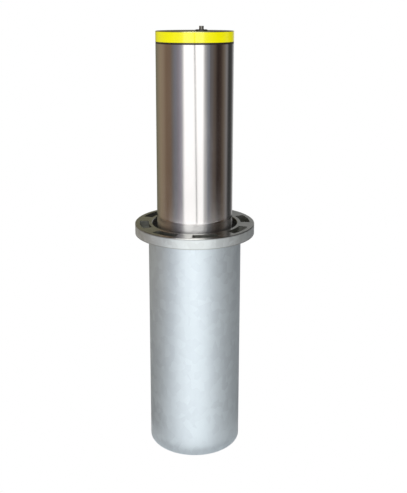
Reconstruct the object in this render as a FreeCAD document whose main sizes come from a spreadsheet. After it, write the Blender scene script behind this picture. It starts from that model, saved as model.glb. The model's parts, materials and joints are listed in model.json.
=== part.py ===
import FreeCAD
import Part
import Sketcher
import math
import os

# Retractable bollard: a stainless post that slides down into a buried, galvanised steel sleeve.
# The post is drawn raised, with its latch drawn back. Millimetres, +Z up, and the origin is the
# middle of the underside of the base plate. Most parts are drawn in the lock frame, whose +X points
# from the post axis to the key lock, and are then turned about Z by LockTurn.

SIZES = (
    ("PostDiameter", 219.0, "outside of the stainless post tube"),
    ("PostWall", 6.0, "wall of the post tube"),
    ("Stroke", 548.0, "travel of the post"),
    ("CapStand", 2.5, "height of the cap above the flange when the post is down"),
    ("CapEdge", 2.0, "visible edge of the top cap"),
    ("SleeveGap", 20.5, "radial space between post and sleeve"),
    ("SleeveWall", 5.0, "wall of the ground sleeve"),
    ("FlangeLedge", 39.0, "width of the flange outside the sleeve"),
    ("FlangeThickness", 30.0, "height of the top flange"),
    ("BoreGap", 14.5, "radial space between post and flange bore"),
    ("CollarWidth", 10.0, "metal between the bore and the arc pockets"),
    ("RimWidth", 13.0, "metal between the arc pockets and the flange rim"),
    ("PocketDepth", 18.0, "depth of the arc pockets"),
    ("PocketSpan", 28.0, "degrees covered by one arc pocket"),
    ("PocketTurn", 11.5, "degrees from +X to the middle of the first pocket"),
    ("AnchorHole", 14.0, "diameter of the anchor bolt holes"),
    ("BaseThickness", 8.0, "base plate"),
    ("BufferHeight", 34.7, "rubber buffer under the lowered foot"),
    ("FootDrop", 82.0, "flange top to the underside of the post foot"),
    ("FootThickness", 12.0, "foot flange of the post"),
    ("GuideDrop", 36.0, "flange top to the bottom of the guide ring"),
    ("SealDrop", 20.0, "flange top to the bottom of the wiper seal"),
    ("LipThickness", 6.0, "stop lip under the guide ring"),
    ("BandHeight", 27.5, "reflective band"),
    ("BandRecess", 0.8, "depth of the groove that holds the reflective band"),
    ("BandProud", 0.1, "height of the band above the post surface"),
    ("TrimHeight", 5.3, "dark ring under the band"),
    ("LockRadius", 49.0, "post axis to the key lock"),
    ("LockTurn", -68.0, "degrees from +X to the key lock"),
    ("BoltRadius", 7.0, "latch bolt"),
    ("BoltDrop", 57.0, "flange top to the axis of the latch bolt"),
    ("CrankThrow", 10.0, "crank pin offset"),
    ("StrutRadius", 16.0, "cylinder of the gas strut"),
    ("RodRadius", 6.0, "rod of the gas strut"),
    ("GuideGap", 0.45, "radial clearance of the post in its guide ring"),
    ("RunningGap", 0.3, "radial clearance of small sliding and turning parts"),
    ("FitGap", 0.03, "radial clearance of small fixed parts"),
    ("SkinGap", 0.15, "radial clearance of large fixed rings"),
)

SHEET = "Sizes"
POCKETS = 8
THIRDS = 3


class Size:
    """A length that keeps its spreadsheet expression and its number together."""

    def __init__(self, text, number):
        self.text = text
        self.number = number

    def __add__(self, other):
        other = as_size(other)
        return Size(f"({self.text} + {other.text})", self.number + other.number)

    def __sub__(self, other):
        other = as_size(other)
        return Size(f"({self.text} - {other.text})", self.number - other.number)

    def __mul__(self, other):
        other = as_size(other)
        return Size(f"({self.text} * {other.text})", self.number * other.number)

    def __truediv__(self, other):
        other = as_size(other)
        return Size(f"({self.text} / {other.text})", self.number / other.number)

    def __neg__(self):
        return Size(f"(0 - {self.text})", -self.number)

    def __radd__(self, other):
        return as_size(other) + self

    def __rsub__(self, other):
        return as_size(other) - self


def as_size(value):
    """Turn a plain number into a Size; a Size is passed through."""
    if isinstance(value, Size):
        return value
    return Size(f"({float(value)})", float(value))


def sine(angle):
    """Sine of an angle in degrees."""
    return Size(f"sin({angle.text})", math.sin(math.radians(angle.number)))


def chord_depth(radius, half_width):
    """Distance from the axis to a flat of the given half width inside a circle."""
    radius = as_size(radius)
    half_width = as_size(half_width)
    text = f"sqrt({radius.text} ^ 2 - {half_width.text} ^ 2)"
    return Size(text, math.sqrt(radius.number ** 2 - half_width.number ** 2))


def make_sheet(doc):
    """Write the named sizes to the spreadsheet and return them as Sizes."""
    sheet = doc.addObject("Spreadsheet::Sheet", SHEET)
    named = {}
    for row, (alias, number, meaning) in enumerate(SIZES, 1):
        sheet.set(f"A{row}", meaning)
        sheet.set(f"B{row}", str(number))
        sheet.setAlias(f"B{row}", alias)
        named[alias] = Size(f"{SHEET}.{alias}", number)
    doc.recompute()
    return named


os.makedirs("parts", exist_ok=True)
doc = FreeCAD.newDocument("RetractableBollard")
S = make_sheet(doc)

# Heights. flange_top is paving level.
foot_gap = S["RunningGap"]
flange_top = S["BaseThickness"] + S["BufferHeight"] + foot_gap + S["Stroke"] + S["FootDrop"]
flange_under = flange_top - S["FlangeThickness"]
cap_top = flange_top + S["Stroke"] + S["CapStand"]
tube_top = cap_top - S["CapEdge"]
plug_under = tube_top - 4
foot_under = flange_top - S["FootDrop"]
foot_top = foot_under + S["FootThickness"]
guide_under = flange_top - S["GuideDrop"]
lip_under = guide_under - S["LipThickness"]
seal_under = flange_top - S["SealDrop"]
bolt_level = flange_top - S["BoltDrop"]
bar_top = plug_under - 7
bar_under = bar_top - 10
band_low = tube_top - S["BandHeight"]
trim_low = band_low - S["TrimHeight"]
base_top = S["BaseThickness"]

# Radii, all growing outwards from the post.
post_r = S["PostDiameter"] / 2
post_in = post_r - S["PostWall"]
bore_r = post_r + S["BoreGap"]
sleeve_in = post_r + S["SleeveGap"]
sleeve_r = sleeve_in + S["SleeveWall"]
flange_r = sleeve_r + S["FlangeLedge"]
pocket_in = bore_r + S["CollarWidth"]
pocket_out = flange_r - S["RimWidth"]
anchor_circle = (pocket_in + pocket_out) / 2
foot_r = sleeve_in - 3
rail_face = sleeve_in - 10.5
run_r = post_r + S["GuideGap"]
groove_r = post_r - S["BandRecess"]
lock_x = S["LockRadius"]
fit = S["FitGap"]
skin = S["SkinGap"]
run = S["RunningGap"]


def origin_feature(body, role):
    """The plane or axis of a body's origin with the given role."""
    for feature in body.Origin.OriginFeatures:
        if feature.Role == role:
            return feature
    raise RuntimeError(role)


def set_size(feature, name, value):
    """Bind one property of a feature to a Size."""
    feature.setExpression(name, as_size(value).text)


def new_body(label, turn=None):
    """A body with its own label, turned about Z by a Size in degrees."""
    body = doc.addObject("PartDesign::Body", label)
    body.Label = label
    if turn is not None:
        upright = FreeCAD.Vector(0, 0, 1)
        body.Placement = FreeCAD.Placement(FreeCAD.Vector(), FreeCAD.Rotation(upright, turn.number))
        set_size(body, "Placement.Rotation.Angle", turn)
    return body


def new_sketch(body, name, role, height=None):
    """A sketch on one of the body's own origin planes, raised by height if given."""
    sketch = body.newObject("Sketcher::SketchObject", name)
    sketch.AttachmentSupport = [(origin_feature(body, role), "")]
    sketch.MapMode = "FlatFace"
    if height is not None:
        set_size(sketch, "AttachmentOffset.Base.z", height)
    return sketch


def fix_point(sketch, line, end, across, up):
    """Pin one end of a line to the sketch origin with two bound distances."""
    for kind, value in (("DistanceX", across), ("DistanceY", up)):
        index = sketch.addConstraint(Sketcher.Constraint(kind, -1, 1, line, end, value.number))
        sketch.setExpression(f"Constraints[{index}]", value.text)


def closed_outline(sketch, points):
    """Straight-sided closed outline through bound points."""
    points = [(as_size(across), as_size(up)) for across, up in points]
    corners = [FreeCAD.Vector(across.number, up.number, 0) for across, up in points]
    count = len(corners)
    for index, corner in enumerate(corners):
        sketch.addGeometry(Part.LineSegment(corner, corners[(index + 1) % count]), False)
    for index in range(count):
        sketch.addConstraint(Sketcher.Constraint("Coincident", index, 2, (index + 1) % count, 1))
    for index, (across, up) in enumerate(points):
        fix_point(sketch, index, 1, across, up)


def turned(body, name, points):
    """Revolve a radius and height outline about the body's Z axis."""
    sketch = new_sketch(body, name + "_outline", "XZ_Plane")
    closed_outline(sketch, points)
    feature = body.newObject("PartDesign::Revolution", name)
    feature.Profile = sketch
    feature.ReferenceAxis = (sketch, ["V_Axis"])
    feature.Angle = 360
    sketch.Visibility = False
    return feature


def padded(body, name, points, bottom, height):
    """Pad a straight-sided outline upwards from bottom."""
    sketch = new_sketch(body, name + "_outline", "XY_Plane", bottom)
    closed_outline(sketch, points)
    feature = body.newObject("PartDesign::Pad", name)
    feature.Profile = sketch
    set_size(feature, "Length", height)
    return feature


def box(body, name, across, depth, tall, cut=False):
    """Box between pairs of Sizes; cut removes it instead."""
    kind = "PartDesign::SubtractiveBox" if cut else "PartDesign::AdditiveBox"
    feature = body.newObject(kind, name)
    spans = (("Length", "x", across), ("Width", "y", depth), ("Height", "z", tall))
    for side, axis, (low, high) in spans:
        set_size(feature, side, as_size(high) - low)
        set_size(feature, f"Placement.Base.{axis}", low)
    return feature


def cylinder(body, name, radius, height, base, axis="z", cut=False):
    """Cylinder that starts at base and runs along +X, +Y or +Z; cut removes it instead."""
    kind = "PartDesign::SubtractiveCylinder" if cut else "PartDesign::AdditiveCylinder"
    feature = body.newObject(kind, name)
    turns = {"x": ((0, 1, 0), 90), "y": ((1, 0, 0), -90), "z": ((0, 0, 1), 0)}
    direction, angle = turns[axis]
    rotation = FreeCAD.Rotation(FreeCAD.Vector(*direction), angle)
    feature.Placement = FreeCAD.Placement(FreeCAD.Vector(), rotation)
    set_size(feature, "Radius", radius)
    set_size(feature, "Height", height)
    for letter, value in zip("xyz", base):
        set_size(feature, f"Placement.Base.{letter}", value)
    return feature


def hexagon(body, name, radius, height, base):
    """Hexagonal recess that starts at base and runs upwards."""
    feature = body.newObject("PartDesign::SubtractivePrism", name)
    feature.Polygon = 6
    set_size(feature, "Circumradius", radius)
    set_size(feature, "Height", height)
    for letter, value in zip("xyz", base):
        set_size(feature, f"Placement.Base.{letter}", value)
    return feature


def around(body, name, originals, count):
    """Repeat features evenly about the body's Z axis."""
    pattern = body.newObject("PartDesign::PolarPattern", name)
    pattern.Originals = originals
    pattern.Axis = (origin_feature(body, "Z_Axis"), [""])
    pattern.Angle = 360
    pattern.Occurrences = count
    body.Tip = pattern
    return pattern


def socket_screw(body, name, place, head, shank, recess=2):
    """Screw with a hexagonal socket; place is the middle of the underside of its head."""
    across, depth, seat = (as_size(value) for value in place)
    head_r, head_h = head
    shank_r, shank_h = shank
    top = seat + head_h
    cylinder(body, name + "_head", head_r, head_h, (across, depth, seat))
    cylinder(body, name + "_shank", shank_r, as_size(shank_h) + 1, (across, depth, seat - shank_h))
    hexagon(body, name + "_socket", as_size(head_r) * 0.5, recess, (across, depth, top - recess))


def base_plate():
    """Round plate closing the bottom of the sleeve, with an off-centre drain."""
    body = new_body("base_plate", S["LockTurn"])
    edge = sleeve_in - skin
    turned(body, "base_disc", ((0, 0), (edge, 0), (edge, base_top), (0, base_top)))
    cylinder(body, "drain_hole", 22, base_top + 2, (-75, 0, -1), cut=True)
    for index, side in enumerate((-26, 26)):
        cylinder(body, f"grate_tap_{index}", fit + 2, base_top, (-75, side, 1), cut=True)


def ground_sleeve():
    """Buried round casing."""
    body = new_body("ground_sleeve")
    turned(body, "sleeve_wall", (
        (sleeve_in, 0), (sleeve_r, 0), (sleeve_r, flange_under), (sleeve_in, flange_under)))


def pocket_outline(body):
    """Arc-shaped pocket outline centred on +X, in the plane of the flange top."""
    sketch = new_sketch(body, "pocket_outline", "XY_Plane", flange_top)
    half = S["PocketSpan"] / 2
    angle = math.radians(half.number)
    upright = FreeCAD.Vector(0, 0, 1)
    ends = []
    for radius, side in ((pocket_in, -1), (pocket_out, -1), (pocket_out, 1), (pocket_in, 1)):
        reach = radius.number * math.cos(angle)
        ends.append(FreeCAD.Vector(reach, side * radius.number * math.sin(angle), 0))
    outer = Part.Circle(FreeCAD.Vector(), upright, pocket_out.number)
    inner = Part.Circle(FreeCAD.Vector(), upright, pocket_in.number)
    sketch.addGeometry(Part.LineSegment(ends[0], ends[1]), False)
    sketch.addGeometry(Part.ArcOfCircle(outer, -angle, angle), False)
    sketch.addGeometry(Part.LineSegment(ends[2], ends[3]), False)
    sketch.addGeometry(Part.ArcOfCircle(inner, -angle, angle), False)
    joints = ((1, 3, -1, 1), (3, 3, -1, 1), (0, 2, 1, 1), (1, 2, 2, 1), (2, 2, 3, 2), (3, 1, 0, 1))
    for first, first_end, second, second_end in joints:
        sketch.addConstraint(Sketcher.Constraint("Coincident", first, first_end, second, second_end))
    for arc, radius in ((1, pocket_out), (3, pocket_in)):
        index = sketch.addConstraint(Sketcher.Constraint("Radius", arc, radius.number))
        sketch.setExpression(f"Constraints[{index}]", radius.text)
    rises = ((0, 1, -(pocket_in * sine(half))), (0, 2, -(pocket_out * sine(half))),
             (2, 1, pocket_out * sine(half)), (2, 2, pocket_in * sine(half)))
    for line, end, rise in rises:
        index = sketch.addConstraint(Sketcher.Constraint("DistanceY", -1, 1, line, end, rise.number))
        sketch.setExpression(f"Constraints[{index}]", rise.text)
    return sketch


def top_flange():
    """Heavy ring at paving level with eight arc pockets, each with an anchor bolt hole."""
    body = new_body("top_flange", S["PocketTurn"])
    groove = bore_r + 2
    turned(body, "flange_ring", (
        (bore_r, flange_under), (flange_r, flange_under), (flange_r, flange_top - 1.5),
        (flange_r - 1.5, flange_top), (bore_r + 1, flange_top), (bore_r, flange_top - 1),
        (bore_r, seal_under + 6.5), (groove, seal_under + 6), (groove, seal_under + 2),
        (bore_r, seal_under + 1.5)))
    pocket = body.newObject("PartDesign::Pocket", "arc_pocket")
    pocket.Profile = pocket_outline(body)
    set_size(pocket, "Length", S["PocketDepth"])
    around(body, "pockets_around", [pocket], POCKETS)
    hole = cylinder(body, "anchor_hole", S["AnchorHole"] / 2, S["FlangeThickness"] + 2,
                    (anchor_circle, 0, flange_under - 1), cut=True)
    around(body, "holes_around", [hole], POCKETS)


def guide_housing():
    """Ring under the flange that carries the guide ring and gives the upper stop its lip."""
    body = new_body("guide_housing")
    edge = sleeve_in - skin
    turned(body, "housing_ring", (
        (post_r + 2, lip_under), (edge, lip_under), (edge, flange_under), (bore_r, flange_under),
        (bore_r, guide_under), (post_r + 2, guide_under)))


def guide_ring():
    """Plastic ring the post slides in."""
    body = new_body("guide_ring")
    edge = bore_r - skin
    turned(body, "guide_bush", (
        (run_r + 1, guide_under), (edge, guide_under), (edge, seal_under), (run_r + 1, seal_under),
        (run_r, seal_under - 1), (run_r, guide_under + 1)))


def wiper_seal():
    """Rubber wiper held by a bead in the flange bore."""
    body = new_body("wiper_seal")
    edge = bore_r - skin
    bead = bore_r + 2 - skin
    turned(body, "wiper", (
        (post_r + 4, seal_under), (edge, seal_under), (edge, seal_under + 1.6), (bead, seal_under + 2.1),
        (bead, seal_under + 5.9), (edge, seal_under + 6.4), (edge, seal_under + 8),
        (post_r + 6, seal_under + 8), (post_r + 2, seal_under + 10), (run_r, seal_under + 9.5),
        (run_r, seal_under + 7), (post_r + 4, seal_under + 4)))


def guide_rails():
    """Three upright bars on the sleeve wall that stop the post from turning."""
    body = new_body("guide_rails", S["LockTurn"])
    back = chord_depth(sleeve_in, 10) - fit
    bar = box(body, "rail", (-back, -rail_face), (-10, 10), (base_top + 4, lip_under - 2))
    around(body, "rails_around", [bar], THIRDS)


def keeper(label, level):
    """Block on the sleeve wall that receives the latch bolt at one height."""
    body = new_body(label, S["LockTurn"])
    back = chord_depth(sleeve_in, 15) - fit
    face = post_r + 2
    box(body, "block", (face, back), (-15, 15), (level - 11, level + 11))
    cylinder(body, "bolt_hole", S["BoltRadius"] + 0.5, 40, (face - 5, 0, level), "x", cut=True)


def drain_grate():
    """Slotted cover over the drain."""
    body = new_body("drain_grate", S["LockTurn"])
    cylinder(body, "grate_disc", 30, 3, (-75, 0, base_top))
    for index, offset in enumerate((-12, -4, 4, 12)):
        middle = offset - 75
        box(body, f"slot_{index}", (middle - 2, middle + 2), (-14, 14), (base_top - 1, base_top + 4), True)
    for index, side in enumerate((-26, 26)):
        cylinder(body, f"screw_hole_{index}", 2.1, 6, (-75, side, base_top - 1), cut=True)


def grate_screws():
    """Two screws through the drain grate."""
    body = new_body("grate_screws", S["LockTurn"])
    for index, side in enumerate((-26, 26)):
        socket_screw(body, f"screw_{index}", (-75, side, base_top + 3), (3.5, 2.5), (2, 9), 1.5)


def down_buffers():
    """Three rubber buffers on the base plate for the lowered post."""
    body = new_body("down_buffers", S["LockTurn"])
    height = S["BufferHeight"]
    lower = cylinder(body, "buffer", 15, height - 2, (80, 0, base_top))
    upper = cylinder(body, "buffer_nose", 12, height, (80, 0, base_top))
    around(body, "buffers_around", [lower, upper], THIRDS)


def strut_foot_boss():
    """Socket on the base plate for the strut rod."""
    body = new_body("strut_foot_boss", S["LockTurn"])
    bore = S["RodRadius"] + fit
    top = base_top + 30
    turned(body, "boss", (
        (0, base_top), (24, base_top), (24, base_top + 4), (20, base_top + 8), (20, top),
        (bore, top), (bore, base_top + 6), (0, base_top + 6)))
    cylinder(body, "pin_hole", 3 + fit, 60, (0, -30, base_top + 18), "y", cut=True)


def strut_foot_pin():
    """Cross pin that holds the strut rod in its boss."""
    body = new_body("strut_foot_pin", S["LockTurn"])
    cylinder(body, "pin", 3, 46, (0, -22, base_top + 18), "y")
    cylinder(body, "pin_head", 5, 3, (0, -24, base_top + 18), "y")


def strut_rod():
    """Polished rod of the gas strut, fixed to the base."""
    body = new_body("strut_rod", S["LockTurn"])
    rod = S["RodRadius"]
    foot = base_top + 6
    shoulder = flange_top - 40
    turned(body, "rod", (
        (0, foot), (rod, foot), (rod, shoulder), (4, shoulder), (4, shoulder + 12), (0, shoulder + 12)))
    cylinder(body, "rod_pin_hole", 3 + fit, 60, (0, -30, base_top + 18), "y", cut=True)


def strut_piston():
    """Piston on the end of the strut rod."""
    body = new_body("strut_piston")
    low = flange_top - 40
    outer = S["StrutRadius"] - 2 - run
    turned(body, "piston", (
        (fit + 4, low), (outer, low), (outer, low + 4), (outer - 1, low + 5), (outer, low + 6),
        (outer, low + 10), (fit + 4, low + 10)))


def post_tube():
    """Standing stainless tube, grooved for the band, with a hole for the latch bolt near its foot."""
    body = new_body("post_tube", S["LockTurn"])
    turned(body, "tube_wall", (
        (post_in, foot_top), (post_r, foot_top), (post_r, trim_low), (groove_r, trim_low),
        (groove_r, tube_top), (post_in, tube_top)))
    cylinder(body, "bolt_hole", S["BoltRadius"] + 0.5, 40, (post_in - 20, 0, bolt_level), "x", cut=True)


def top_cap():
    """Flat cap with a spigot inside the tube, a chamfered edge and holes for lock and screws."""
    body = new_body("top_cap", S["LockTurn"])
    spigot = post_in - skin
    turned(body, "cap_disc", (
        (0, plug_under), (spigot, plug_under), (spigot, tube_top), (post_r, tube_top),
        (post_r, cap_top - 1), (post_r - 1, cap_top), (0, cap_top)))
    cylinder(body, "lock_hole", run + 7, 14, (lock_x, 0, plug_under - 2), cut=True)
    for index, side in enumerate((-75, 75)):
        cylinder(body, f"screw_hole_{index}", 3.3, 14, (0, side, plug_under - 2), cut=True)
        cylinder(body, f"head_seat_{index}", 6.3, 5, (0, side, cap_top - 4), cut=True)
    for index, side in enumerate((-12, 12)):
        cylinder(body, f"small_tap_{index}", 1.5 + fit, 8, (lock_x, side, cap_top - 6), cut=True)


def cap_screws():
    """Two screws that hold the cap down on the crossbar."""
    body = new_body("cap_screws", S["LockTurn"])
    for index, side in enumerate((-75, 75)):
        socket_screw(body, f"screw_{index}", (0, side, cap_top - 4), (6, 3.6), (3, 18), 2.2)


def wrap(label, low, high, outer):
    """Thin ring in the groove round the top of the post."""
    body = new_body(label)
    inner = groove_r + skin
    turned(body, "wrap", ((inner, low), (outer, low), (outer, high), (inner, high)))


def head_crossbar():
    """Bar across the inside of the post that hangs it on the gas strut."""
    body = new_body("head_crossbar", S["LockTurn"])
    reach = chord_depth(post_in, 15) - fit
    corners = ((-15, -reach), (15, -reach), (15, reach), (-15, reach))
    padded(body, "bar", corners, bar_under, bar_top - bar_under)
    cylinder(body, "stud_hole", 5 + fit, 20, (0, 0, bar_under - 5), cut=True)
    for index, side in enumerate((-75, 75)):
        cylinder(body, f"tap_{index}", 3 + fit, 20, (0, side, bar_under - 5), cut=True)


def strut_cylinder():
    """Pressure tube of the gas strut, closed at the top and carrying a threaded stud."""
    body = new_body("strut_cylinder")
    outer = S["StrutRadius"]
    inner = outer - 2
    low = flange_top - 55
    crown = bar_under - 6
    turned(body, "pressure_tube", (
        (inner, low), (outer, low), (outer, bar_under), (5, bar_under), (5, plug_under - 1),
        (0, plug_under - 1), (0, crown), (inner, crown)))


def strut_gland():
    """Seal carrier at the open end of the gas strut."""
    body = new_body("strut_gland")
    low = flange_top - 55
    inner = S["RodRadius"] + run
    outer = S["StrutRadius"] - 2 - fit
    turned(body, "gland", (
        (inner, low - 3), (outer - 3, low - 3), (outer, low), (outer, low + 12), (inner, low + 12)))


def strut_head_nut():
    """Nut on the strut stud above the crossbar."""
    body = new_body("strut_head_nut", S["LockTurn"])
    points = []
    for index in range(6):
        turn = math.radians(60 * index)
        points.append((9 * math.cos(turn), 9 * math.sin(turn)))
    padded(body, "nut", points, bar_top, 6)
    cylinder(body, "thread", 5 + fit, 12, (0, 0, bar_top - 3), cut=True)


def foot_flange():
    """Plate under the post, notched round the rails and the lower keeper."""
    body = new_body("foot_flange", S["LockTurn"])
    turned(body, "foot_ring", ((40, foot_under), (foot_r, foot_under), (foot_r, foot_top), (40, foot_top)))
    levels = (foot_under - 1, foot_top + 1)
    notch = box(body, "rail_notch", (-(foot_r + 5), 0.6 - rail_face), (-10.8, 10.8), levels, True)
    around(body, "notches_around", [notch], THIRDS)
    box(body, "keeper_notch", (post_r + 1, foot_r + 5), (-16, 16), levels, True)
    tap = cylinder(body, "shoe_tap_near", 2 + fit, 10, (-(post_r + 5), 15, foot_top - 8), cut=True)
    other = cylinder(body, "shoe_tap_far", 2 + fit, 10, (-(post_r + 5), -15, foot_top - 8), cut=True)
    around(body, "taps_around", [tap, other], THIRDS)


def guide_shoes():
    """Three plastic shoes that straddle the rails."""
    body = new_body("guide_shoes", S["LockTurn"])
    outer = foot_r - 5
    block = box(body, "shoe", (-outer, -(post_r + 1)), (-20, 20), (foot_top, foot_top + 10))
    slot = box(body, "shoe_slot", (-(foot_r + 5), run - rail_face), (-10 - run, run + 10),
               (foot_top - 1, foot_top + 11), True)
    holes = []
    for index, side in enumerate((-15, 15)):
        place = (-(post_r + 5), side, foot_top - 1)
        holes.append(cylinder(body, f"shoe_hole_{index}", 2.1, 14, place, cut=True))
    around(body, "shoes_around", [block, slot] + holes, THIRDS)


def shoe_screws():
    """Six screws that hold the shoes."""
    body = new_body("shoe_screws", S["LockTurn"])
    made = []
    for index, side in enumerate((-15, 15)):
        place = (-(post_r + 5), side, foot_top + 10)
        made.append(cylinder(body, f"head_{index}", 3.5, 2.5, place))
        lower = (-(post_r + 5), side, foot_top - 7)
        made.append(cylinder(body, f"shank_{index}", 2, 18, lower))
    around(body, "screws_around", made, THIRDS)


def stop_bumpers():
    """Three rubber posts on the foot that meet the stop lip when the post is up."""
    body = new_body("stop_bumpers", S["LockTurn"])
    middle = post_r + 8.5
    height = lip_under - run - foot_top
    post = cylinder(body, "bumper", 6, height, (0, -middle, foot_top))
    collar = cylinder(body, "bumper_foot", 7, height - 3, (0, -middle, foot_top))
    around(body, "bumpers_around", [post, collar], THIRDS)


def lock_escutcheon():
    """Round plate on the cap round the key lock."""
    body = new_body("lock_escutcheon", S["LockTurn"])
    cylinder(body, "plate", 17, 2, (lock_x, 0, cap_top))
    cylinder(body, "step", 16, 4.5, (lock_x, 0, cap_top))
    cylinder(body, "barrel_hole", run + 7, 8, (lock_x, 0, cap_top - 2), cut=True)
    for index, side in enumerate((-12, 12)):
        cylinder(body, f"screw_hole_{index}", 1.6, 8, (lock_x, side, cap_top - 2), cut=True)
        cylinder(body, f"head_seat_{index}", 2.7, 4, (lock_x, side, cap_top + 3), cut=True)


def escutcheon_screws():
    """Two small screws in the lock plate."""
    body = new_body("escutcheon_screws", S["LockTurn"])
    for index, side in enumerate((-12, 12)):
        socket_screw(body, f"screw_{index}", (lock_x, side, cap_top + 3), (2.5, 1.4), (1.5, 7.5), 0.8)


def lock_rod_guides():
    """Two brackets inside the post that steady the lock rod."""
    body = new_body("lock_rod_guides", S["LockTurn"])
    reach = chord_depth(post_in, 12) - fit
    for index, part in enumerate((6, 2)):
        low = flange_top + S["Stroke"] / part
        box(body, f"bracket_{index}", (lock_x - 11, reach), (-12, 12), (low, low + 8))
        cylinder(body, f"rod_hole_{index}", run + 5, 12, (lock_x, 0, low - 2), cut=True)


def latch_guide_block():
    """Block on the post wall that guides the latch bolt."""
    body = new_body("latch_guide_block", S["LockTurn"])
    reach = chord_depth(post_in, 14) - fit
    box(body, "block", (lock_x + 34.5, reach), (-14, 14), (bolt_level - 11, bolt_level + 11))
    cylinder(body, "bolt_bore", S["BoltRadius"] + run, 80, (lock_x + 20, 0, bolt_level), "x", cut=True)


def lock_barrel():
    """Turning lock barrel with a plain hexagonal key recess."""
    body = new_body("lock_barrel", S["LockTurn"])
    low = plug_under - 4
    high = cap_top + 14
    cylinder(body, "barrel", 7, cap_top + 5 - low, (lock_x, 0, low))
    cylinder(body, "barrel_nose", 6.3, high - low, (lock_x, 0, low))
    cylinder(body, "rod_bore", 5 + fit, 12, (lock_x, 0, low - 1), cut=True)
    hexagon(body, "key_recess", 4, 7, (lock_x, 0, high - 6))


def lock_rod():
    """Long rod from the lock barrel down to the crank."""
    body = new_body("lock_rod", S["LockTurn"])
    low = bolt_level + 5
    cylinder(body, "rod", 5, plug_under + 7 - low, (lock_x, 0, low))


def latch_crank():
    """Disc with an eccentric pin that works the latch bolt."""
    body = new_body("latch_crank", S["LockTurn"])
    low = bolt_level + 5
    side = S["CrankThrow"] * 0.70711
    cylinder(body, "disc", 14, 8, (lock_x, 0, low))
    cylinder(body, "rod_bore", 5 + fit, 12, (lock_x, 0, low - 2), cut=True)
    cylinder(body, "crank_pin", 3, 9, (lock_x - side, side, low - 8))


def latch_bolt():
    """Round bolt with a slotted yoke plate under the crank."""
    body = new_body("latch_bolt", S["LockTurn"])
    side = S["CrankThrow"] * 0.70711
    slot_x = lock_x - side
    tip = post_r - 1
    start = lock_x + 15
    cylinder(body, "bolt", S["BoltRadius"], tip - start - 1.5, (start, 0, bolt_level), "x")
    cylinder(body, "bolt_nose", S["BoltRadius"] - 1.5, tip - start, (start, 0, bolt_level), "x")
    box(body, "yoke", (slot_x - 8.5, lock_x + 18), (-8, 16), (bolt_level - 4, bolt_level + 4))
    box(body, "yoke_slot", (slot_x - 3.5, slot_x + 3.5), (2.5, 14), (bolt_level - 6, bolt_level + 6), True)


def build():
    """Make every part of the bollard."""
    base_plate()
    ground_sleeve()
    top_flange()
    guide_housing()
    guide_ring()
    wiper_seal()
    guide_rails()
    keeper("upper_keeper", bolt_level)
    keeper("lower_keeper", bolt_level - S["Stroke"])
    drain_grate()
    grate_screws()
    down_buffers()
    strut_foot_boss()
    strut_foot_pin()
    strut_rod()
    strut_piston()
    post_tube()
    top_cap()
    cap_screws()
    wrap("reflective_band", band_low, tube_top, post_r + S["BandProud"])
    wrap("band_trim", trim_low, band_low, post_r - S["BandProud"])
    head_crossbar()
    strut_head_nut()
    strut_cylinder()
    strut_gland()
    foot_flange()
    guide_shoes()
    shoe_screws()
    stop_bumpers()
    lock_escutcheon()
    escutcheon_screws()
    lock_rod_guides()
    latch_guide_block()
    lock_barrel()
    lock_rod()
    latch_crank()
    latch_bolt()
    doc.recompute()


def check_and_write():
    """Stop on any broken feature or shape, then write one STEP file per body."""
    for item in doc.Objects:
        if "Invalid" in item.State or "Error" in item.State:
            raise RuntimeError(f"{item.Label}: {item.State}")
    for body in doc.findObjects("PartDesign::Body"):
        shape = body.Shape
        if shape.isNull() or not shape.isValid() or not shape.Solids:
            raise RuntimeError(f"{body.Label}: bad shape")
        if min(solid.Volume for solid in shape.Solids) <= 0:
            raise RuntimeError(f"{body.Label}: empty solid")
        print(f"{body.Label:20s} solids {len(shape.Solids):2d} volume {shape.Volume:12.1f} mm3")
        shape.exportStep(f"parts/{body.Label}.step")


build()
check_and_write()
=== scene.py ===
import bpy
import json
import math
import numpy as np
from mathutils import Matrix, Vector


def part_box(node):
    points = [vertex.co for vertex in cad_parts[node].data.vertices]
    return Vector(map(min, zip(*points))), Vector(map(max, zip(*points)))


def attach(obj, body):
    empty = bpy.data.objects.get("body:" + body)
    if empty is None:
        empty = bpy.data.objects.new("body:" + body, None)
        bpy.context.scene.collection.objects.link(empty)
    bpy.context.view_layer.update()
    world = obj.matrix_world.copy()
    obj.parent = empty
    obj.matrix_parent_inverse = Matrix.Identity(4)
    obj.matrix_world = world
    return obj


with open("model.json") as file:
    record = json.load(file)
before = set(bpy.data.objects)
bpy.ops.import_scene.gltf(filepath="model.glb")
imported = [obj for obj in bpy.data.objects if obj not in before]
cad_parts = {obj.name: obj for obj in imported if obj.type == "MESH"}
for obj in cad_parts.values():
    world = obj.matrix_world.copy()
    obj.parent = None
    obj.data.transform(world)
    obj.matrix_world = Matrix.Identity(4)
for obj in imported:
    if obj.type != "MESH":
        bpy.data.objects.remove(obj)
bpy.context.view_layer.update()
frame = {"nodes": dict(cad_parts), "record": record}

# Retractable bollard, in metres: the post stands in a buried casing whose flange lies at paving level.
# The places that the finishes and the added weld beads need are read from the frame.
FLANGE_LOW, FLANGE_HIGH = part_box("top_flange")
FLANGE_TOP = FLANGE_HIGH[2]
FLANGE_UNDER = FLANGE_LOW[2]
FLANGE_RADIUS = FLANGE_HIGH[0]
SLEEVE_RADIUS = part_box("ground_sleeve")[1][0]
CAP_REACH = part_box("top_cap")[1][0]

# Metal between the flange's pockets and its rim, and how far from the axis the pockets reach.
RIM_WIDTH = 0.013
POCKET_REACH = FLANGE_RADIUS - RIM_WIDTH

# Heights over the flange between which the post's foot turns satin, and then lighter, a painted
# highlight.
SATIN_START = 0.029
SATIN_FULL = 0.012
PAINTED_HIGHLIGHT_START = 0.021
PAINTED_HIGHLIGHT_FULL = 0.010


# ---------------------------------------------------------------- shader nodes

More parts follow.
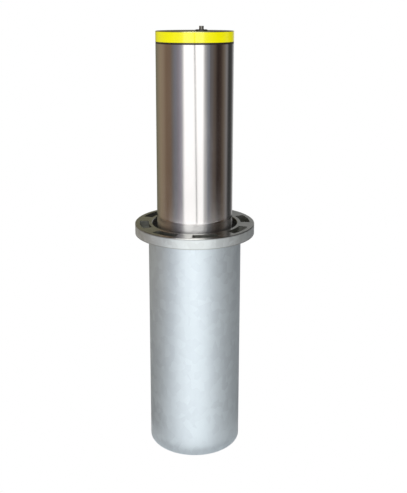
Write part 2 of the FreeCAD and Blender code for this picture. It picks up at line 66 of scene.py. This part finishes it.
def put(tree, kind, inputs=None, **settings):
    """A shader node with its settings; each input is a number, a colour or another node's socket."""
    made = tree.nodes.new(kind)
    for name, value in settings.items():
        setattr(made, name, value)
    for name, value in (inputs or {}).items():
        if isinstance(value, bpy.types.NodeSocket):
            tree.links.new(value, made.inputs[name])
        else:
            made.inputs[name].default_value = value
    return made


def maths(tree, kind, first, second=0.0):
    """One arithmetic node."""
    return put(tree, "ShaderNodeMath", {0: first, 1: second}, operation=kind).outputs[0]


def ramp(tree, factor, stops):
    """Colour ramp through (place, grey or colour) stops."""
    made = put(tree, "ShaderNodeValToRGB", {"Fac": factor})
    points = made.color_ramp.elements
    while len(points) < len(stops):
        points.new(0.5)
    for point, (place, shade) in zip(points, stops):
        point.position = place
        shade = (shade, shade, shade) if isinstance(shade, float) else shade
        point.color = tone(*shade)
    return made.outputs["Color"]


def multiplied(tree, first, second):
    """One colour times another."""
    return put(tree, "ShaderNodeMix", {"Factor": 1.0, "A": first, "B": second},
               data_type="RGBA", blend_type="MULTIPLY").outputs[2]


def tone(red, green, blue):
    """Colour with full opacity."""
    return (red, green, blue, 1.0)


# ---------------------------------------------------------------- camera and studio

# Where the camera stands, before the post and over the flange, and how many degrees it looks down.
CAMERA_DISTANCE = 2.0579
CAMERA_RISE = 0.5977
CAMERA_TILT = 11.59


def place_camera():
    """A long lens in front of the post, a little above its cap, looking down onto the flange."""
    lens = bpy.data.cameras.new("studio_lens")
    lens.sensor_width = 36.0
    lens.lens = 53.2
    lens.shift_x = 0.0179
    lens.shift_y = -0.1699
    lens.clip_end = 60.0
    camera = bpy.data.objects.new("studio_camera", lens)
    camera.location = (0.0, -CAMERA_DISTANCE, FLANGE_TOP + CAMERA_RISE)
    camera.rotation_euler = (math.radians(90.0 - CAMERA_TILT), 0.0, 0.0)
    bpy.context.scene.collection.objects.link(camera)
    bpy.context.scene.camera = camera


# Light round the horizon, as (degrees to the right of the lens, brightness): two softboxes side by
# side behind the lens, dark cards at the sides and a narrow black one on the right.
HORIZON = (
    (-180, (0.18, 0.17, 0.12)), (-154, (0.18, 0.17, 0.12)), (-122, (0.31, 0.245, 0.165)),
    (-106, (0.29, 0.22, 0.155)), (-92, (0.205, 0.14, 0.094)), (-75, (0.20, 0.14, 0.10)),
    (-70, (0.18, 0.155, 0.135)), (-59, (0.20, 0.205, 0.235)), (-49, (0.26, 0.24, 0.27)),
    (-40, (0.38, 0.37, 0.43)), (-35, 0.6), (-30, 1.45), (24, 1.45), (29.5, 0.50),
    (41, (0.165, 0.18, 0.215)), (51, (0.14, 0.13, 0.13)), (61, (0.113, 0.088, 0.072)),
    (71, (0.027, 0.018, 0.016)), (83, (0.052, 0.035, 0.028)), (95, (0.15, 0.12, 0.092)),
    (109, (0.25, 0.24, 0.24)), (118, 0.06), (126, 0.04), (134, 0.06), (143, 0.1), (151, 0.32),
    (162, 0.6), (170, 0.38), (176, 0.25), (180, 0.22))

# The gap between the two softboxes: its place at eye level, in degrees to the right of the lens, how
# many degrees it leans to the right for each unit of drop, and its shade, as (radians aside, share).
GAP_PLACE = -1.2
GAP_LEAN = 27.0
GAP_SHADE = ((0.0, 0.24), (0.018, 0.33), (0.05, 1.0))

# How the light of the horizon falls off towards the ceiling, as (rise, share), and how it sinks to
# its lowest share between two drops. Rise and drop are the upright part of the light's direction.
CEILING = ((0.0, 1.0), (0.36, 1.0), (0.50, 0.22), (1.0, 0.3))
SINK_START = 0.08
SINK_END = 0.28
SINK_SHARE = 0.85

# Light from below the horizon, in the same form: the pale studio floor, brightest in front.
LOWER = (
    (-180, 0.28), (-120, 0.31), (-90, 0.52), (-70, 0.83), (-50, 1.07), (-25, 1.35), (0, 1.40),
    (25, 1.38), (50, 0.97), (70, 0.77), (90, 0.50), (107, 0.40), (120, 0.34), (180, 0.28))

# The floor begins between two drops, is FLOOR_GAIN times as bright, and darkens as (drop, share).
FLOOR_START = 0.306
FLOOR_FULL = 0.318
FLOOR_GAIN = 1.48
FLOOR_DEPTH = ((0.31, 1.32), (0.33, 1.20), (0.375, 0.87), (0.44, 0.65), (0.49, 0.49), (0.75, 0.40))

# The round pale floor under the casing: its radius, and how far it lies below the base.
DISC_RADIUS = 0.19
DISC_DROP = 0.0008


def round_stops(shades):
    """Places from 0 to 1 on a ramp for shades that are given in degrees round the horizon."""
    return [(degrees / 360.0 + 0.5, shade) for degrees, shade in shades]


def light_studio():
    """White backdrop, soft light banded round the horizon and one overhead softbox."""
    world = bpy.data.worlds.new("studio")
    world.use_nodes = True
    bpy.context.scene.world = world
    tree = world.node_tree
    tree.nodes.clear()
    direction = put(tree, "ShaderNodeTexCoord").outputs["Generated"]
    parts = put(tree, "ShaderNodeSeparateXYZ", {"Vector": direction}).outputs
    towards = maths(tree, "MULTIPLY", parts["Y"], -1.0)
    turn = maths(tree, "ARCTAN2", parts["X"], towards)
    place = maths(tree, "ADD", maths(tree, "DIVIDE", turn, 2.0 * math.pi), 0.5)
    lean = maths(tree, "MULTIPLY", parts["Z"], math.radians(GAP_LEAN))
    aside = maths(tree, "ADD", maths(tree, "ADD", turn, lean), -math.radians(GAP_PLACE))
    gap = ramp(tree, maths(tree, "ABSOLUTE", aside), GAP_SHADE)
    bands = multiplied(tree, ramp(tree, place, round_stops(HORIZON)), gap)
    upper = multiplied(tree, bands, ramp(tree, parts["Z"], CEILING))
    sunk = put(tree, "ShaderNodeMapRange", {
        "Value": parts["Z"], "From Min": -SINK_START, "From Max": -SINK_END,
        "To Min": 1.0, "To Max": SINK_SHARE}).outputs["Result"]
    upper = put(tree, "ShaderNodeVectorMath", {0: upper, "Scale": sunk}, operation="SCALE").outputs[0]

    drop = maths(tree, "MULTIPLY", parts["Z"], -1.0)
    below = multiplied(tree, ramp(tree, place, round_stops(LOWER)), ramp(tree, drop, FLOOR_DEPTH))
    below = put(tree, "ShaderNodeVectorMath", {0: below, "Scale": FLOOR_GAIN},
                operation="SCALE").outputs[0]
    dip = put(tree, "ShaderNodeMapRange", {
        "Value": parts["Z"], "From Min": -FLOOR_START, "From Max": -FLOOR_FULL}).outputs["Result"]
    shaped = put(tree, "ShaderNodeMix", {"Factor": dip, "A": upper, "B": below}, data_type="RGBA")
    lit = put(tree, "ShaderNodeBackground", {"Color": shaped.outputs[2], "Strength": 1.0})
    plain = put(tree, "ShaderNodeBackground", {"Color": tone(1.0, 1.0, 1.0), "Strength": 1.0})
    seen = put(tree, "ShaderNodeLightPath").outputs["Is Camera Ray"]
    both = put(tree, "ShaderNodeMixShader", {0: seen, 1: lit.outputs[0], 2: plain.outputs[0]})
    put(tree, "ShaderNodeOutputWorld", {"Surface": both.outputs[0]})

    soft = bpy.data.lights.new("overhead_softbox", "AREA")
    soft.shape = "DISK"
    soft.size = 1.6
    soft.energy = 14.0
    overhead = bpy.data.objects.new("overhead_softbox", soft)
    overhead.location = (-0.3, -1.0, 2.9)
    overhead.rotation_euler = (math.radians(26.0), 0.0, 0.0)
    bpy.context.scene.collection.objects.link(overhead)


def lay_floor():
    """Round pale floor just under the casing: one flat disc about the axis, white to the camera."""
    rim = np.linspace(0.0, 2.0 * math.pi, 96, endpoint=False)
    points = np.column_stack([DISC_RADIUS * np.cos(rim), DISC_RADIUS * np.sin(rim),
                              np.full(rim.size, -DISC_DROP)])
    mesh = bpy.data.meshes.new("pale_floor")
    mesh.from_pydata(points.tolist(), [], [list(range(rim.size))])
    floor = bpy.data.objects.new("pale_floor", mesh)
    bpy.context.scene.collection.objects.link(floor)
    pale = bpy.data.materials.new("pale_floor")
    pale.use_nodes = True
    tree = pale.node_tree
    tree.nodes.clear()
    glow = put(tree, "ShaderNodeEmission", {"Color": tone(0.22, 0.22, 0.22), "Strength": 1.0})
    pale_grey = put(tree, "ShaderNodeBsdfDiffuse", {"Color": tone(0.85, 0.85, 0.85)})
    grey = put(tree, "ShaderNodeAddShader", {0: pale_grey.outputs[0], 1: glow.outputs[0]})
    white = put(tree, "ShaderNodeEmission", {"Color": tone(1.0, 1.0, 1.0), "Strength": 1.0})
    seen = put(tree, "ShaderNodeLightPath").outputs["Is Camera Ray"]
    both = put(tree, "ShaderNodeMixShader", {0: seen, 1: grey.outputs[0], 2: white.outputs[0]})
    put(tree, "ShaderNodeOutputMaterial", {"Surface": both.outputs[0]})
    mesh.materials.append(pale)


# ---------------------------------------------------------------- finishes

class Finish:
    """A material under construction: its node tree, its shader and the object's own coordinates."""

    def __init__(self, name, metallic, coat=0.0):
        self.material = bpy.data.materials.new(name)
        self.material.use_nodes = True
        self.tree = self.material.node_tree
        self.shader = self.tree.nodes["Principled BSDF"]
        self.shader.inputs["Metallic"].default_value = metallic
        self.shader.inputs["Coat Weight"].default_value = coat
        self.place = put(self.tree, "ShaderNodeTexCoord").outputs["Object"]

    def noise(self, stretch, detail=4.0, roughness=0.55):
        """Noise whose grain is stretched by a number of waves per metre on each axis."""
        scaled = put(self.tree, "ShaderNodeMapping", {"Vector": self.place, "Scale": stretch})
        made = put(self.tree, "ShaderNodeTexNoise", {
            "Vector": scaled.outputs[0], "Scale": 1.0, "Detail": detail, "Roughness": roughness})
        return made.outputs[0]

    def cells(self, scale, feature="F1", stretch=(1.0, 1.0, 1.0)):
        """Cell pattern: crystals of zinc or the prisms of reflective film."""
        scaled = put(self.tree, "ShaderNodeMapping", {"Vector": self.place, "Scale": stretch})
        return put(self.tree, "ShaderNodeTexVoronoi", {"Vector": scaled.outputs[0], "Scale": scale},
                   feature=feature).outputs

    def radius(self):
        """Distance from the post axis."""
        parts = put(self.tree, "ShaderNodeSeparateXYZ", {"Vector": self.place}).outputs
        flat = put(self.tree, "ShaderNodeCombineXYZ", {"X": parts["X"], "Y": parts["Y"]}).outputs[0]
        return put(self.tree, "ShaderNodeVectorMath", {0: flat}, operation="LENGTH").outputs["Value"]

    def height(self):
        """Height above the base."""
        return put(self.tree, "ShaderNodeSeparateXYZ", {"Vector": self.place}).outputs["Z"]

    def between(self, value, low, high, start=0.0, end=1.0):
        """Value carried from the span low to high onto the span start to end, and held there."""
        made = put(self.tree, "ShaderNodeMapRange", {
            "Value": value, "From Min": low, "From Max": high, "To Min": start, "To Max": end})
        return made.outputs["Result"]

    def blend(self, factor, first, second):
        """The second colour over the first by a factor."""
        made = put(self.tree, "ShaderNodeMix", {"Factor": factor, "A": first, "B": second},
                   data_type="RGBA")
        return made.outputs[2]

    def colour(self, socket_or_colour):
        """Colour of the surface."""
        self.set("Base Color", socket_or_colour)

    def rough(self, socket_or_number):
        """Roughness of the surface."""
        self.set("Roughness", socket_or_number)

    def set(self, name, value):
        """Give one shader socket a value or a link."""
        if isinstance(value, bpy.types.NodeSocket):
            self.tree.links.new(value, self.shader.inputs[name])
        else:
            self.shader.inputs[name].default_value = value

    def relief(self, heights, strength, depth):
        """Bump from a height socket; a second call lies on top of the first."""
        inputs = {"Height": heights, "Strength": strength, "Distance": depth}
        normal = self.shader.inputs["Normal"]
        if normal.is_linked:
            inputs["Normal"] = normal.links[0].from_socket
        made = put(self.tree, "ShaderNodeBump", inputs)
        self.tree.links.new(made.outputs[0], normal)


def polished_tube():
    """Stainless tube polished on a lathe: faint lines round it, thumb marks and hairline scratches.

    Just above the flange the seal has brushed it satin, so it scatters light up and down there, and
    its colour is lightened there, a painted highlight.
    """
    f = Finish("polished_stainless", 1.0)
    lines = f.noise((3.0, 3.0, 1400.0), 3.0)
    smears = f.noise((9.0, 9.0, 3.5), 5.0)
    hairs = f.noise((260.0, 260.0, 9.0), 2.0)
    steel = ramp(f.tree, smears, ((0.3, (0.72, 0.70, 0.69)), (0.7, (0.80, 0.78, 0.77))))
    foot = f.between(f.height(), FLANGE_TOP + SATIN_START, FLANGE_TOP + SATIN_FULL)
    # Painted highlight: the foot's colour is lightened towards white.
    painted_foot_highlight = f.between(f.height(), FLANGE_TOP + PAINTED_HIGHLIGHT_START, FLANGE_TOP + PAINTED_HIGHLIGHT_FULL)
    f.colour(f.blend(painted_foot_highlight, steel, tone(1.0, 0.99, 0.98)))
    base = f.between(smears, 0.35, 0.75, 0.085, 0.15)
    base = maths(f.tree, "ADD", base, f.between(lines, 0.3, 0.7, 0.0, 0.035))
    f.rough(maths(f.tree, "ADD", base, maths(f.tree, "MULTIPLY", foot, 0.27)))
    f.set("Anisotropic", maths(f.tree, "MULTIPLY", foot, 0.95))
    f.set("Anisotropic Rotation", 0.25)
    f.set("Tangent", put(f.tree, "ShaderNodeTangent", direction_type="RADIAL", axis="Z").outputs[0])
    f.relief(lines, 0.06, 0.00004)
    f.relief(f.between(hairs, 0.66, 0.72), 0.03, 0.00003)
    return f.material


def turned_cap():
    """Cap faced on a lathe: fine rings round the axis; the band's yellow is painted in as a reflection.
    """
    f = Finish("faced_stainless", 1.0)
    radius = f.radius()
    waves = maths(f.tree, "MULTIPLY", radius, 2600.0)
    rings = put(f.tree, "ShaderNodeTexNoise", {"W": waves, "Scale": 1.0, "Detail": 2.0},
                noise_dimensions="1D")
    smears = f.noise((14.0, 14.0, 14.0))
    # Painted reflection of the yellow band: the face is tinted olive and its edge blended to yellow.
    face = ramp(f.tree, smears, ((0.3, (0.50, 0.48, 0.32)), (0.7, (0.62, 0.60, 0.42))))
    rim = f.between(radius, CAP_REACH - 0.004, CAP_REACH - 0.001)
    f.colour(f.blend(rim, face, tone(0.88, 0.86, 0.40)))
    f.rough(f.between(smears, 0.3, 0.7, 0.22, 0.34))
    f.relief(rings.outputs[0], 0.12, 0.00005)
    return f.material


def dipped_zinc(name, light, dark, crystal=55.0):
    """Hot-dip zinc: crystals of slightly different grey, cloudy mottling and soft runs.

    Returns the finish, its colour and its roughness, so that a finish built on it can change them.
    """
    f = Finish(name, 1.0)
    crystals = f.cells(crystal, stretch=(1.0, 1.0, 0.8))
    shade = put(f.tree, "ShaderNodeSeparateXYZ", {"Vector": crystals["Color"]}).outputs["X"]
    clouds = f.noise((11.0, 11.0, 5.0), 6.0, 0.6)
    runs = f.noise((46.0, 46.0, 3.0), 3.0)
    grains = f.noise((420.0, 420.0, 420.0), 3.0)
    mixed = maths(f.tree, "ADD", maths(f.tree, "MULTIPLY", shade, 0.22),
                  maths(f.tree, "MULTIPLY", clouds, 0.62))
    mixed = maths(f.tree, "ADD", mixed, maths(f.tree, "MULTIPLY", runs, 0.16))
    zinc = ramp(f.tree, mixed, ((0.30, dark), (0.62, light)))
    f.colour(zinc)
    even = maths(f.tree, "ADD", f.between(clouds, 0.3, 0.7, 0.40, 0.50),
                 f.between(shade, 0.0, 1.0, 0.0, 0.07))
    even = maths(f.tree, "ADD", even, f.between(grains, 0.3, 0.7, -0.02, 0.03))
    f.rough(even)
    f.relief(clouds, 0.10, 0.0012)
    f.relief(grains, 0.10, 0.00010)
    f.relief(shade, 0.03, 0.00006)
    return f, zinc, even


def flange_zinc():
    """Zinc of the flange: matte on the rim's side, worn smooth on top, with painted shade in the
    pockets.

    The rim's side is darkened along its upper edge, the brim, and its lower edge, the hem; at the
    hem the dark is a painted shadow line. The painted shade of the pockets begins a little outside
    them, so that their outer walls are shaded as well.
    """
    f, zinc, matte = dipped_zinc("flange_zinc", (0.80, 0.845, 0.85), (0.64, 0.675, 0.675), 70.0)
    height = f.height()
    on_top = f.between(height, FLANGE_TOP - 0.0013, FLANGE_TOP - 0.0004)
    brim = f.between(height, FLANGE_TOP - 0.0046, FLANGE_TOP - 0.0012)
    hem = f.between(height, FLANGE_UNDER + 0.0030, FLANGE_UNDER + 0.0012)
    # The rim's side is darkened at the brim and at the hem; the dark at the hem is a painted shadow
    # line.
    darkened_edges = maths(f.tree, "MAXIMUM", maths(f.tree, "MULTIPLY", brim, 0.60),
                   maths(f.tree, "MULTIPLY", hem, 0.45))
    # Painted shade: the pockets and their outer walls are darkened.
    pocket_shade_mask = f.between(f.radius(), POCKET_REACH + 0.0025, POCKET_REACH + 0.001)
    dirt = f.noise((60.0, 60.0, 60.0), 6.0, 0.65)
    dull = ramp(f.tree, dirt, ((0.28, (0.54, 0.545, 0.51)), (0.55, (0.74, 0.745, 0.71)),
                               (0.8, (0.84, 0.845, 0.81))))
    # Colour of the painted shade in the pockets.
    black = ramp(f.tree, dirt, ((0.3, (0.30, 0.305, 0.28)), (0.8, (0.48, 0.485, 0.45))))
    side = f.blend(darkened_edges, zinc, tone(0.10, 0.10, 0.095))
    f.colour(f.blend(on_top, f.blend(pocket_shade_mask, side, black), dull))
    f.rough(f.between(on_top, 0.0, 1.0, matte, f.between(dirt, 0.3, 0.7, 0.17, 0.27)))
    f.relief(dirt, 0.12, 0.0004)
    return f.material


def plated_steel(name, light, dark, rough_low=0.28, rough_high=0.42):
    """Machined and plated steel with faint tool lines."""
    f = Finish(name, 1.0)
    lines = f.noise((40.0, 40.0, 900.0), 2.0)
    clouds = f.noise((35.0, 35.0, 35.0), 5.0)
    f.colour(ramp(f.tree, clouds, ((0.3, dark), (0.7, light))))
    f.rough(f.between(clouds, 0.3, 0.7, rough_low, rough_high))
    f.relief(lines, 0.10, 0.00004)
    return f.material


def moulded_rubber(name, grey):
    """Rubber with a dusty bloom and a fine grain."""
    f = Finish(name, 0.0)
    grain = f.noise((900.0, 900.0, 900.0), 3.0)
    bloom = f.noise((50.0, 50.0, 50.0), 6.0)
    dusty = (grey * 1.9, grey * 1.9, grey * 1.8)
    f.colour(ramp(f.tree, bloom, ((0.35, (grey, grey, grey)), (0.75, dusty))))
    f.rough(f.between(bloom, 0.3, 0.7, 0.55, 0.72))
    f.relief(grain, 0.25, 0.00012)
    return f.material


def machined_polymer():
    """Off-white bearing plastic with turning marks."""
    f = Finish("bearing_polymer", 0.0)
    lines = f.noise((30.0, 30.0, 1600.0), 2.0)
    clouds = f.noise((40.0, 40.0, 40.0), 4.0)
    f.colour(ramp(f.tree, clouds, ((0.3, (0.72, 0.69, 0.60)), (0.7, (0.80, 0.78, 0.70)))))
    f.rough(f.between(clouds, 0.3, 0.7, 0.36, 0.48))
    f.relief(lines, 0.2, 0.00006)
    return f.material


def reflective_film():
    """Yellow reflective film: small prisms under a clear glossy skin, and a painted yellow glow."""
    f = Finish("reflective_film", 0.0, 1.0)
    f.set("Coat Roughness", 0.07)
    f.set("Coat IOR", 1.8)
    f.set("Specular IOR Level", 0.0)
    edges = f.cells(520.0, "DISTANCE_TO_EDGE")["Distance"]
    prisms = f.between(edges, 0.0, 0.12)
    wear = f.noise((30.0, 30.0, 60.0), 5.0)
    yellow = ramp(f.tree, wear, ((0.3, (0.50, 0.475, 0.003)), (0.7, (0.58, 0.55, 0.004))))
    f.colour(f.blend(prisms, tone(0.40, 0.38, 0.003), yellow))
    f.rough(f.between(wear, 0.3, 0.7, 0.22, 0.34))
    # Painted glow: the film is given a yellow emission of its own.
    f.set("Emission Color", tone(0.85, 0.80, 0.0))
    f.set("Emission Strength", 0.70)
    f.relief(prisms, 0.12, 0.00005)
    return f.material


def painted(name, light, dark):
    """Stoved paint with a slight orange peel."""
    f = Finish(name, 0.0, 0.25)
    peel = f.noise((320.0, 320.0, 320.0), 2.0)
    clouds = f.noise((24.0, 24.0, 24.0), 4.0)
    f.colour(ramp(f.tree, clouds, ((0.3, dark), (0.7, light))))
    f.rough(f.between(clouds, 0.3, 0.7, 0.3, 0.42))
    f.relief(peel, 0.12, 0.0001)
    return f.material


def hard_chrome():
    """Ground and chromed rod."""
    f = Finish("hard_chrome", 1.0)
    lines = f.noise((20.0, 20.0, 2400.0), 2.0)
    film = f.noise((20.0, 20.0, 6.0), 4.0)
    f.colour(ramp(f.tree, film, ((0.3, (0.80, 0.80, 0.81)), (0.7, (0.88, 0.88, 0.89)))))
    f.rough(f.between(film, 0.3, 0.7, 0.05, 0.11))
    f.relief(lines, 0.04, 0.00002)
    return f.material


def make_finishes():
    """One material for each slot of the record, and the cap's own."""
    sleeve_zinc, _, _ = dipped_zinc("dipped_zinc", (0.79, 0.87, 0.915), (0.672, 0.745, 0.795))
    return {
        "stainless": polished_tube(),
        "cap": turned_cap(),
        "galvanised": sleeve_zinc.material,
        "flange_zinc": flange_zinc(),
        "reflective_yellow": reflective_film(),
        "trim_black": painted("trim_black", (0.035, 0.028, 0.022), (0.022, 0.018, 0.015)),
        "seal_rubber": moulded_rubber("seal_rubber", 0.012),
        "buffer_rubber": moulded_rubber("buffer_rubber", 0.022),
        "guide_polymer": machined_polymer(),
        "strut_black": painted("strut_black", (0.022, 0.022, 0.024), (0.014, 0.014, 0.016)),
        "strut_chrome": hard_chrome(),
        "zinc_steel": plated_steel("zinc_plated", (0.64, 0.64, 0.60), (0.50, 0.50, 0.46)),
        "lock_dark": painted("lock_dark", (0.075, 0.07, 0.062), (0.045, 0.042, 0.038)),
        "lock_steel": plated_steel("lock_steel", (0.30, 0.29, 0.27), (0.22, 0.21, 0.20), 0.26, 0.38),
        "screw_steel": plated_steel("screw_steel", (0.66, 0.66, 0.66), (0.54, 0.54, 0.55), 0.2, 0.32),
    }


def dress_nodes(finishes):
    """Give every part its finish in place of its plain colour."""
    for entry in frame["record"]["subparts"]:
        node = entry["node"]
        slot = "cap" if node == "top_cap" else entry["material_slot"]
        slots = frame["nodes"][node].data.materials
        slots.clear()
        slots.append(finishes[slot])


# ---------------------------------------------------------------- welds

def weld_bead(name, points, finish, ring=True):
    """Mesh of quads over a grid of points (along, across, 3), closed across and, for a ring, along."""
    along, across = points.shape[:2]
    rows = along if ring else along - 1
    first, second = np.meshgrid(np.arange(rows), np.arange(across), indexing="ij")
    next_first = (first + 1) % along
    next_second = (second + 1) % across
    quads = np.stack([first * across + second, next_first * across + second,
                      next_first * across + next_second, first * across + next_second], axis=-1)
    mesh = bpy.data.meshes.new(name)
    mesh.from_pydata(points.reshape(-1, 3).tolist(), [], quads.reshape(-1, 4).tolist())
    mesh.polygons.foreach_set("use_smooth", np.ones(len(mesh.polygons), dtype=bool))
    mesh.materials.append(finish)
    piece = bpy.data.objects.new(name, mesh)
    bpy.context.scene.collection.objects.link(piece)
    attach(piece, "casing")


def flange_weld(finish):
    """Fillet weld under the flange, round the sleeve.

    A small circle is carried round the sleeve. Its radius is 4 mm, plus a ripple of 0.35 mm that is
    the sine of 150 turns, drawn slightly forward as the arc was moved along, plus a slow swell of
    0.2 mm that is the sine of 17 turns.
    """
    throat = 0.0040
    sunk = 0.0004
    raised = 0.0003
    turn = np.linspace(0.0, 2.0 * math.pi, 900, endpoint=False)[:, None]
    across = np.linspace(0.0, 2.0 * math.pi, 14, endpoint=False)[None, :]
    lead = turn + 0.012 * np.cos(across)
    bead = throat + 0.00035 * np.sin(150.0 * lead) + 0.0002 * np.sin(17.0 * turn)
    reach = SLEEVE_RADIUS - sunk + bead * np.cos(across)
    rise = FLANGE_UNDER - raised + bead * np.sin(across)
    points = np.stack([reach * np.cos(turn), reach * np.sin(turn), rise], axis=-1)
    weld_bead("flange_weld", points, finish)


def sleeve_seam(finish):
    """Lengthwise weld at the back of the sleeve, where the rolled plate was closed.

    A flat oval, 9 mm wide and 1.6 mm thick, is carried straight up the sleeve, with ripples
    0.12 mm high every 3 mm and a sideways wander of 0.3 mm. Its two ends taper to a point.
    """
    half_width = 0.0045
    half_thickness = 0.0008
    place = math.radians(97.0)
    rise = np.linspace(0.002, FLANGE_UNDER - 0.0045, 1100)[:, None]
    across = np.linspace(0.0, 2.0 * math.pi, 12, endpoint=False)[None, :]
    span = (rise - rise[0]) / (rise[-1] - rise[0])
    taper = np.sqrt(np.clip(np.minimum(span, 1.0 - span) * 120.0, 1e-6, 1.0))
    wander = 0.0003 * np.sin(rise * 61.0)
    side = (half_width * np.cos(across) * taper + wander) / SLEEVE_RADIUS
    ripple = 0.00012 * np.sin(rise * 2094.0 + 1.3 * np.cos(across))
    reach = SLEEVE_RADIUS + half_thickness * np.sin(across) * taper + ripple
    points = np.stack([reach * np.cos(place + side), reach * np.sin(place + side),
                       rise + 0.0 * across], axis=-1)
    weld_bead("sleeve_seam", points, finish, ring=False)


place_camera()
light_studio()
lay_floor()
bpy.context.scene.view_settings.view_transform = "Standard"
finishes = make_finishes()
dress_nodes(finishes)
flange_weld(finishes["galvanised"])
sleeve_seam(finishes["galvanised"])
